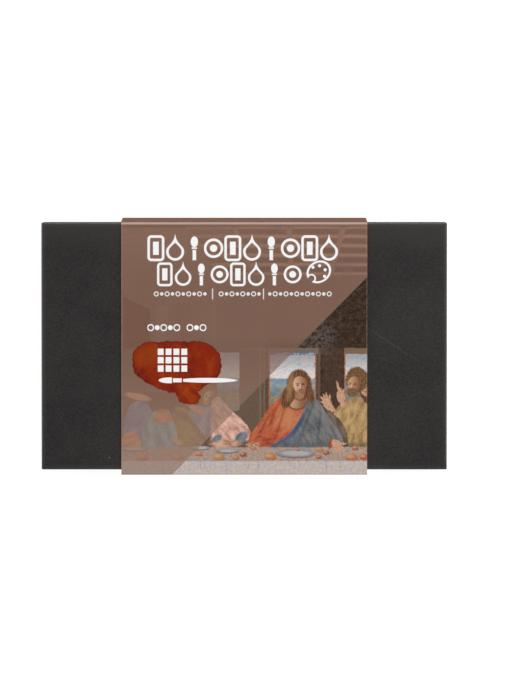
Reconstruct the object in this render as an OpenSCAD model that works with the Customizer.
// Travel watercolour set: a slide-out tray of half pans in a board sleeve,
// held shut by a loose printed card band.
// X runs left to right, Y runs front to rear and Z is up. The sleeve lies on its back,
// so its picture side is on top. The origin is at the bottom centre of the whole set.

/* [Sleeve] */
// Length of the sleeve, open end to open end
sleeve_len = 160; // [133:1:210]
// Width of the sleeve, front to rear
sleeve_wid = 97.5; // [81:0.5:130]
// Height of the sleeve
sleeve_high = 22; // [18:0.5:40]
// Thickness of the sleeve's greyboard
board_t = 1.5; // [1:0.1:2]
// Thickness of the covering paper
wrap_t = 0.2; // [0.15:0.05:0.3]
// Thickness of the lining paper
lining_t = 0.2; // [0.15:0.05:0.3]
// Depth to which the covering paper turns in at each open end
turn_in = 12; // [6:1:25]
// Outer radius of the covering paper's long folds
fold_r = 0.5; // [0.2:0.05:0.5]

/* [Band] */
// Width of the band along the sleeve
band_wid = 97; // [60:1:120]
// Thickness of the band's card
band_t = 0.4; // [0.25:0.05:0.55]
// Gap over the sleeve
band_top_gap = 0.3; // [0.1:0.05:1]
// Gap under the sleeve, above the glued lap
band_seat_gap = 0.15; // [0.05:0.05:0.5]
// Gap behind the sleeve at the upper rear crease
band_rear_gap = 0.1; // [0.05:0.05:1]
// Gap before the sleeve at the upper front crease
band_front_gap = 1.75; // [1.5:0.05:3]
// Distance by which the loose band leans back at its foot
band_lean = 1.2; // [0:0.1:1.3]
// Outer radius of the band's creases
crease_r = 0.6; // [0.6:0.05:1]
// Width of the glued lap
lap_wid = 15; // [8:1:25]
// Distance from the band's middle to the lap's open edge
lap_edge = 28; // [20:1:35]

/* [Tray] */
// Thickness of the tray's greyboard
tray_board_t = 1.2; // [0.8:0.1:1.6]
// Thickness of the tray's covering paper
tray_wrap_t = 0.15; // [0.1:0.05:0.25]
// Distance by which each tray end stands back from the sleeve's end
tray_recess = 0.25; // [0:0.05:1]
// Gap on each long side of the tray
tray_side_gap = 0.35; // [0.2:0.05:0.6]
// Gap under the tray
tray_under_gap = 0.2; // [0.1:0.05:0.3]
// Gap over the tray
tray_top_gap = 0.6; // [0.3:0.1:1]

/* [Pans] */
// Number of pans in a row
pan_cols = 6; // [4:1:6]
// Length of a half pan's rim
pan_len = 19; // [16:0.5:22.8]
// Width of a half pan's rim
pan_wid = 16; // [13:0.5:19]
// Height of a half pan
pan_high = 9.5; // [8:0.1:11.4]
// Thickness of a pan's wall
pan_wall = 1; // [0.7:0.1:1.4]
// Height of a pan's rim
pan_rim_high = 1; // [0.6:0.1:1.5]
// Distance by which the rim stands out from the pan's body
pan_rim_out = 0.8; // [0.6:0.1:1.2]
// Corner radius of the rim
pan_corner_r = 2.2; // [2:0.1:3]
// Distance from the paint's surface to the rim's top
paint_below_rim = 1.3; // [0.8:0.1:2.5]

/* [Rack] */
// Thickness of the moulded rack
rack_t = 0.8; // [0.6:0.1:1]
// Gap around the rack
rack_gap = 0.25; // [0.1:0.05:0.5]
// Space between the pans' pockets and the tray's floor
rack_under = 1.4; // [0.8:0.1:2]
// Corner radius of the rack
rack_corner_r = 2; // [1.5:0.5:4]
// Margin from the rack's rear and front edges to what it holds
rack_edge = 3.5; // [2:0.5:6]
// Margin from the rack's ends to the outer pans
rack_end = 6; // [4:0.5:8]
// Margin from the rack's ends to the brush trough and the palette
lane_end = 4; // [3:0.5:6]
// Gap between the two rows of pans, for a fingertip
row_gap = 6.5; // [5:0.5:10]
// Gap between neighbouring lanes
lane_gap = 3.5; // [3:0.5:5]
// Depth of the finger channel between the rows
channel_deep = 5; // [4.5:0.5:6]
// Clearance of a pan in its pocket
pocket_gap = 0.3; // [0.2:0.05:0.5]
// Width of the brush trough
trough_wid = 9; // [8.5:0.5:11]
// Depth of the brush trough
trough_deep = 8.2; // [8:0.1:9]
// Gap at each end of the trough
brush_end_gap = 2; // [1:0.5:5]
// Gap under the brush and its guard
brush_under = 0.2; // [0.1:0.05:0.5]
// Radius of the finger relief beside the brush
relief_r = 7; // [6:0.5:7.5]

/* [Palette] */
// Number of mixing wells
well_count = 5; // [3:1:6]
// Thickness of the palette's plate and wells
palette_t = 1; // [0.8:0.1:1.4]
// Depth of a well below the palette's top
well_deep = 3.8; // [2.5:0.1:4]
// Width of the palette's rim and ribs
palette_rib = 4; // [3:0.5:4.5]
// Corner radius of a well
well_corner_r = 3; // [2:0.5:3.5]

/* [Brush] */
// Length of the hair that shows
hair_len = 13; // [10:0.5:16]
// Radius of the hair where it leaves the ferrule
hair_r = 2.15; // [1.8:0.05:2.6]
// Length of the ferrule
ferrule_len = 18; // [15:0.5:24]
// Share by which the hair swells beyond that radius
hair_swell = 0.3; // [0:0.05:0.35]
// Wall of the ferrule
ferrule_wall = 0.3; // [0.2:0.05:0.4]
// Growth of the ferrule's radius towards the handle
ferrule_flare = 0.5; // [0.2:0.1:0.6]
// Radius of the handle's belly
belly_r = 3.4; // [3:0.1:3.6]
// Radius of the handle near its end
handle_end_r = 1.7; // [1.2:0.1:2.2]
// Clearance of the guard tube round the ferrule
guard_gap = 0.25; // [0.1:0.05:0.4]
// Wall of the guard tube
guard_wall = 0.35; // [0.25:0.05:0.4]
// Length of ferrule that the guard tube covers
guard_grip = 9; // [6:0.5:12]
// Distance by which the guard tube runs past the hair's tip
guard_cover = 2; // [1:0.5:4]

/* [Hidden] */
$fn = 48;
PAINTS = [
    "lemon_yellow", "golden_yellow", "orange", "scarlet", "crimson", "violet",
    "ultramarine", "sky_blue", "emerald", "sap_green", "ochre", "umber",
];
PAINT_COLOURS = [
    "#f2dc1d", "#f0ac12", "#e8690f", "#cf2212", "#8f1230", "#4b1c66",
    "#1b2d8f", "#1b7fc0", "#0d7a55", "#4f6a1c", "#b07a24", "#4a2816",
];
PAN_COUNT = 2 * pan_cols;
PANS = [for (i = [1 : PAN_COUNT]) str("pan_", i < 10 ? "0" : "", i)];

joint_gap = 0.05;          // clearance between pieces that are glued or seated
cut = 1;                   // length by which a cutting shape runs past a face
steps = 5;                 // segments of a rounded fold

// The set's lowest part is the band, then the lap, then the sleeve.
sleeve_z = 2 * band_t + band_seat_gap;
sleeve_y = (band_front_gap - band_rear_gap - band_lean) / 2;
sleeve_skin = wrap_t + board_t;
bore_wid = sleeve_wid - 2 * (sleeve_skin + max(wrap_t, lining_t));
bore_high = sleeve_high - 2 * (sleeve_skin + max(wrap_t, lining_t));

// Band creases as [y, z], from the upper rear one and on round the loop.
band_high = sleeve_z + sleeve_high + band_top_gap + band_t;
crease_rear = sleeve_y + sleeve_wid / 2 + band_rear_gap + band_t;
crease_front = sleeve_y - sleeve_wid / 2 - band_front_gap - band_t;
band_corners = [
    [crease_rear, band_high],
    [crease_front, band_high],
    [crease_front + band_lean, 0],
    [crease_rear + band_lean, 0],
];

tray_len = sleeve_len - 2 * tray_recess;
tray_wid = bore_wid - 2 * tray_side_gap;
tray_high = bore_high - tray_under_gap - tray_top_gap;
tray_z = sleeve_z + (sleeve_high - bore_high) / 2 + tray_under_gap;
tray_skin = tray_wrap_t + tray_board_t;
cavity_len = tray_len - 2 * (tray_skin + tray_wrap_t);
cavity_wid = tray_wid - 2 * (tray_skin + tray_wrap_t);

// The rack's own frame has its middle at the sleeve's middle and its foot at z = 0.
rack_z = tray_z + tray_skin + joint_gap;
rack_len = cavity_len - 2 * rack_gap;
rack_wid = cavity_wid - 2 * rack_gap;
pan_body_len = pan_len - 2 * pan_rim_out;
pan_body_wid = pan_wid - 2 * pan_rim_out;
pan_body_r = pan_corner_r - pan_rim_out;
pan_drop = pan_high - pan_rim_high;
rack_high = rack_under + rack_t + pocket_gap + pan_drop;
pan_pitch = (rack_len - 2 * rack_end - pan_len) / (pan_cols - 1);
row_pitch = pan_wid + row_gap;
rear_row_y = rack_wid / 2 - rack_edge - pan_wid / 2;
channel_y = rear_row_y - row_pitch / 2;
channel_wid = row_gap + 2 * pan_rim_out + pan_corner_r;
channel_len = pan_pitch * (pan_cols - 1) + pan_len;
brush_y = rear_row_y - row_pitch - pan_wid / 2 - lane_gap - trough_wid / 2;
lane_len = rack_len - 2 * lane_end;
palette_rear = brush_y - trough_wid / 2 - lane_gap;
palette_wid = palette_rear + rack_wid / 2 - rack_edge;
palette_y = palette_rear - palette_wid / 2;
well_len = (lane_len - palette_rib * (well_count + 1)) / well_count;
well_wid = palette_wid - 2 * palette_rib;
well_r = min(well_corner_r, well_wid / 2 - joint_gap);
recess_wid = palette_wid - palette_rib;
recess_deep = well_deep + 2 * pocket_gap;

// The brush lies along X with its tip to the left, and x is counted from the tip.
trough_floor = rack_high - trough_deep;
ferrule_r = hair_r + joint_gap + ferrule_wall;
guard_r = ferrule_out(hair_len + guard_grip) + guard_gap;
guard_len = guard_cover + hair_len + guard_grip;   // also the travel that takes it off
brush_z = trough_floor + brush_under + max(belly_r, guard_r + guard_wall);
tip_x = -lane_len / 2 + brush_end_gap + guard_cover + guard_len;
brush_len = lane_len / 2 - brush_end_gap - tip_x;
handle_start = hair_len + ferrule_len;
handle_len = brush_len - handle_start;
tenon_len = ferrule_len * 0.6;

// ---- Shapes that are shared ----

// A flat rectangle with round corners, about the origin
module round_rect(len, wid, r) {
    square([len - 2 * r, wid], center = true);
    square([len, wid - 2 * r], center = true);
    for (sx = [-1, 1], sy = [-1, 1])
        translate([sx * (len / 2 - r), sy * (wid / 2 - r)]) circle(r);
}

// A block with round upright edges, from z = 0 up
module round_block(len, wid, high, r) {
    linear_extrude(high) round_rect(len, wid, r);
}

// A section drawn in Y and Z, made into a bar along X about the middle
module along_x(len) {
    rotate([90, 0, 90]) linear_extrude(len, center = true) children();
}

// A body of revolution about X, from points given as [radius, x]
module turned(points) {
    rotate([0, 90, 0]) rotate_extrude() polygon(points);
}

module block(len, wid, high) {
    translate([-len / 2, -wid / 2, 0]) cube([len, wid, high]);
}

// ---- Sleeve ----

module at_sleeve() {
    translate([0, sleeve_y, sleeve_z]) children();
}

module level_board(z) {
    translate([0, 0, z])
        block(sleeve_len - 2 * wrap_t, sleeve_wid - 2 * wrap_t, board_t);
}

module upright_board(side) {
    high = sleeve_high - 2 * sleeve_skin;
    translate([0, side * (sleeve_wid / 2 - wrap_t - board_t / 2), sleeve_skin])
        block(sleeve_len - 2 * wrap_t, board_t, high);
}

module sleeve_top_board() {
    color("#8b8478") at_sleeve() level_board(sleeve_high - sleeve_skin);
}

module sleeve_bottom_board() {
    color("#8b8478") at_sleeve() level_board(wrap_t);
}

module sleeve_rear_board() {
    color("#8b8478") at_sleeve() upright_board(1);
}

module sleeve_front_board() {
    color("#8b8478") at_sleeve() upright_board(-1);
}

// A rectangular bar along X, centred in the sleeve, that lies inset below its surface
module sleeve_bar(len, inset) {
    translate([0, 0, sleeve_high / 2])
        along_x(len) square([sleeve_wid - 2 * inset, sleeve_high - 2 * inset], center = true);
}

module sleeve_wrap() {
    color("#3a3837") at_sleeve() difference() {
        translate([0, 0, sleeve_high / 2])
            along_x(sleeve_len) round_rect(sleeve_wid, sleeve_high, fold_r);
        difference() {
            sleeve_bar(sleeve_len - 2 * wrap_t, wrap_t);
            sleeve_bar(sleeve_len + cut, sleeve_skin);
        }
        sleeve_bar(sleeve_len + cut, sleeve_skin + wrap_t);
        sleeve_bar(sleeve_len - 2 * turn_in, sleeve_skin);
    }
}

module sleeve_lining() {
    color("#2e2c2b") at_sleeve() difference() {
        sleeve_bar(sleeve_len - 2 * turn_in, sleeve_skin);
        sleeve_bar(sleeve_len, sleeve_skin + lining_t);
    }
}

// ---- Band ----

function unit(v) = v / norm(v);

// A closed outline's corners, each moved in by t square to both of its sides
function inset(p, t) = let (n = len(p)) [
    for (i = [0 : n - 1])
        let (
            a = unit(p[i] - p[(i + n - 1) % n]),
            b = unit(p[(i + 1) % n] - p[i]),
            half = (1 + a * b)
        )
        p[i] + t * ([-a[1], a[0]] + [-b[1], b[0]]) / half
];

// The same outline with each corner rounded by an arc of radius r
function rounded(p, r) = let (n = len(p), centres = inset(p, r)) [
    for (i = [0 : n - 1])
        let (
            a = unit(p[i] - p[(i + n - 1) % n]),
            b = unit(p[(i + 1) % n] - p[i]),
            from = atan2(-a[0], a[1]),
            turn = acos(a * b)
        )
        for (s = [0 : steps])
            let (angle = from + turn * s / steps)
            centres[i] + r * [cos(angle), sin(angle)]
];

module belly_band() {
    lap_y = crease_front + (crease_rear - crease_front + band_lean) / 2 - lap_edge;
    groove = band_t / 3;
    color("#8a6a5c") {
        difference() {
            along_x(band_wid) difference() {
                polygon(rounded(band_corners, crease_r));
                polygon(rounded(inset(band_corners, band_t), crease_r - band_t));
            }
            translate([-band_wid / 2 - cut, lap_y, -cut])
                cube([band_wid + 2 * cut, groove, cut + groove]);
        }
        translate([-band_wid / 2, lap_y, band_t])
            cube([band_wid, lap_wid, band_t]);
    }
}

// ---- Tray ----

module at_tray() {
    translate([0, sleeve_y, tray_z]) children();
}

module tray_long_board(side) {
    high = tray_high - tray_skin - tray_wrap_t;
    translate([0, side * (tray_wid / 2 - tray_wrap_t - tray_board_t / 2), tray_skin])
        block(tray_len - 2 * tray_wrap_t, tray_board_t, high);
}

module tray_end_board(side) {
    high = tray_high - tray_skin - tray_wrap_t;
    translate([side * (tray_len / 2 - tray_wrap_t - tray_board_t / 2), 0, tray_skin])
        block(tray_board_t, tray_wid - 2 * tray_skin, high);
}

module tray_floor_board() {
    color("#8b8478") at_tray() translate([0, 0, tray_wrap_t])
        block(tray_len - 2 * tray_wrap_t, tray_wid - 2 * tray_wrap_t, tray_board_t);
}

module tray_rear_board() {
    color("#8b8478") at_tray() tray_long_board(1);
}

module tray_front_board() {
    color("#8b8478") at_tray() tray_long_board(-1);
}

module tray_left_board() {
    color("#8b8478") at_tray() tray_end_board(-1);
}

module tray_right_board() {
    color("#8b8478") at_tray() tray_end_board(1);
}

module tray_wrap() {
    inner_len = tray_len - 2 * tray_wrap_t;
    inner_wid = tray_wid - 2 * tray_wrap_t;
    color("#353332") at_tray() difference() {
        block(tray_len, tray_wid, tray_high);
        translate([0, 0, tray_wrap_t]) difference() {
            block(inner_len, inner_wid, tray_high - 2 * tray_wrap_t);
            translate([0, 0, tray_board_t])
                block(tray_len - 2 * tray_skin, tray_wid - 2 * tray_skin, tray_high);
        }
        translate([0, 0, tray_skin]) block(cavity_len, cavity_wid, tray_high);
    }
}

// ---- Rack ----

module at_rack() {
    translate([0, sleeve_y, rack_z]) children();
}

// Puts its children at each pan's middle
module each_pan() {
    for (row = [0, 1], i = [0 : pan_cols - 1])
        translate(pan_place(i, row)) children();
}

function pan_place(i, row) = [
    (i - (pan_cols - 1) / 2) * pan_pitch,
    rear_row_y - row * row_pitch,
    0,
];

// The rack's hollows, each grown by t on its sides and underneath
module hollows(t) {
    top = rack_high + (t > 0 ? 0 : cut);
    pocket_floor = rack_under + rack_t;
    each_pan() translate([0, 0, pocket_floor - t])
        round_block(
            pan_body_len + 2 * (pocket_gap + t), pan_body_wid + 2 * (pocket_gap + t),
            top - pocket_floor + t, pan_body_r + pocket_gap + t
        );
    channel_floor = rack_high - channel_deep;
    translate([0, channel_y, channel_floor - t])
        round_block(
            channel_len + 2 * t, channel_wid + 2 * t, top - channel_floor + t, pan_corner_r
        );
    translate([0, brush_y, trough_floor - t])
        round_block(lane_len + 2 * t, trough_wid + 2 * t, top - trough_floor + t, 2 + t);
    translate([relief_x, brush_y, trough_floor - t])
        cylinder(r = relief_r + t, h = top - trough_floor + t);
    recess_floor = rack_high - recess_deep;
    translate([0, palette_y, recess_floor - t])
        round_block(
            lane_len - palette_rib + 2 * t, recess_wid + 2 * t,
            top - recess_floor + t, well_r
        );
}

relief_x = tip_x + brush_len * 0.62;

// Half-round saddles that the brush's handle lies in
module saddles() {
    for (share = [0.12, 0.88]) {
        from_tip = handle_start + handle_len * share;
        translate([tip_x + from_tip, brush_y, 0]) difference() {
            translate([-1, -trough_wid / 2 - joint_gap, trough_floor - joint_gap])
                cube([2, trough_wid + 2 * joint_gap, brush_z - trough_floor - 0.4]);
            translate([-1 - cut, 0, brush_z]) rotate([0, 90, 0])
                cylinder(r = handle_r(share) + brush_under, h = 2 + 2 * cut);
        }
    }
}

module pan_rack() {
    skirt = 2 * rack_t;
    color("#2b2a2a") at_rack() {
        difference() {
            union() {
                difference() {
                    round_block(rack_len, rack_wid, rack_high, rack_corner_r);
                    translate([0, 0, -rack_t])
                        round_block(
                            rack_len - skirt, rack_wid - skirt, rack_high,
                            rack_corner_r - rack_t
                        );
                }
                hollows(rack_t);
            }
            hollows(0);
        }
        saddles();
    }
}

// ---- Pans and paints ----

// A pan's place in the set, its rim resting on the rack
module at_pan(n) {
    place = pan_place(n % pan_cols, floor(n / pan_cols));
    at_rack() translate(place + [0, 0, rack_high - pan_drop + joint_gap]) children();
}

module pan(n) {
    color("#f3f2ee") at_pan(n) difference() {
        union() {
            round_block(pan_body_len, pan_body_wid, pan_high, pan_body_r);
            translate([0, 0, pan_drop])
                round_block(pan_len, pan_wid, pan_rim_high, pan_corner_r);
        }
        translate([0, 0, pan_wall])
            round_block(
                pan_body_len - 2 * pan_wall, pan_body_wid - 2 * pan_wall, pan_high,
                max(0.3, pan_body_r - pan_wall)
            );
    }
}

module paint(n) {
    around = 2 * (pan_wall + joint_gap);
    color(PAINT_COLOURS[n]) at_pan(n) translate([0, 0, pan_wall + joint_gap])
        round_block(
            pan_body_len - around, pan_body_wid - around,
            pan_high - pan_wall - joint_gap - paint_below_rim,
            max(0.3, pan_body_r - pan_wall)
        );
}

// ---- Palette ----

module wells(t) {
    for (i = [0 : well_count - 1]) {
        x = (i - (well_count - 1) / 2) * (well_len + palette_rib);
        translate([x, 0, -well_deep - t])
            round_block(
                well_len + 2 * t, well_wid + 2 * t, well_deep + (t > 0 ? t : cut),
                well_r + t
            );
    }
}

module mixing_palette() {
    wall = palette_t * 0.8;
    top = rack_high + joint_gap + palette_t;
    color("#f4f4f2") at_rack() translate([0, palette_y, top]) difference() {
        union() {
            translate([0, 0, -palette_t])
                round_block(lane_len, palette_wid, palette_t, well_r);
            wells(wall);
        }
        wells(0);
    }
}

// ---- Brush ----

module at_brush() {
    at_rack() translate([tip_x, brush_y, brush_z]) children();
}

// The ferrule's outer radius at x, counted from the tip
function ferrule_out(x) = ferrule_r + ferrule_flare * (x - hair_len) / ferrule_len;

// The handle's radius at a share of its length, from the ferrule to its end
function handle_r(share) =
    share < 0.2
    ? ferrule_out(handle_start) + (belly_r - ferrule_out(handle_start)) * sin(share * 450)
    : handle_end_r + (belly_r - handle_end_r) * (1 + cos((share - 0.2) * 225)) / 2;

module brush_handle() {
    rings = 18;
    tenon_r = ferrule_out(handle_start - tenon_len) - ferrule_wall - joint_gap;
    end_at = 0.985;
    color("#1c1b1b") at_brush() turned(concat(
        [[0, handle_start - tenon_len], [tenon_r, handle_start - tenon_len]],
        [[tenon_r, handle_start + joint_gap]],
        [for (i = [0 : rings])
            let (share = end_at * i / rings)
            [handle_r(share), handle_start + joint_gap + (handle_len - joint_gap) * share]],
        [[handle_end_r * 0.6, brush_len - 0.3], [0, brush_len]]
    ));
}

module brush_ferrule() {
    crimp = ferrule_wall / 2;
    inner = ferrule_r - ferrule_wall;
    crimp_from = handle_start - ferrule_len * 0.25;
    color("#c9c9c6") at_brush() turned(concat(
        [[inner, hair_len], [ferrule_r, hair_len]],
        [for (ring = [0, 1], side = [0 : 4])
            let (x = crimp_from + ring * 1.8 + side * 0.25)
            [ferrule_out(x) - crimp * sin(side * 45), x]],
        [[ferrule_out(handle_start), handle_start]],
        [[ferrule_out(handle_start) - ferrule_wall, handle_start]]
    ));
}

module brush_hair() {
    root = hair_len + ferrule_len * 0.3;
    color("#a9713c") at_brush() turned(concat(
        [[0, 0]],
        [for (i = [1 : 9])
            let (share = i / 10)
            [hair_r * (sin(share * 90) + hair_swell * sin(share * 180)), hair_len * share]],
        [[hair_r, hair_len], [hair_r, root], [0, root]]
    ));
}

module brush_guard() {
    color("#dfe8ea", 0.4) at_brush() turned([
        [guard_r, -guard_cover], [guard_r + guard_wall, -guard_cover],
        [guard_r + guard_wall, guard_len - guard_cover], [guard_r, guard_len - guard_cover],
    ]);
}

sleeve_top_board();
sleeve_bottom_board();
sleeve_rear_board();
sleeve_front_board();
sleeve_wrap();
sleeve_lining();
belly_band();
tray_floor_board();
tray_rear_board();
tray_front_board();
tray_left_board();
tray_right_board();
tray_wrap();
pan_rack();
mixing_palette();
brush_handle();
brush_ferrule();
brush_hair();
brush_guard();
for (n = [0 : PAN_COUNT - 1]) {
    pan(n);
    paint(n);
}
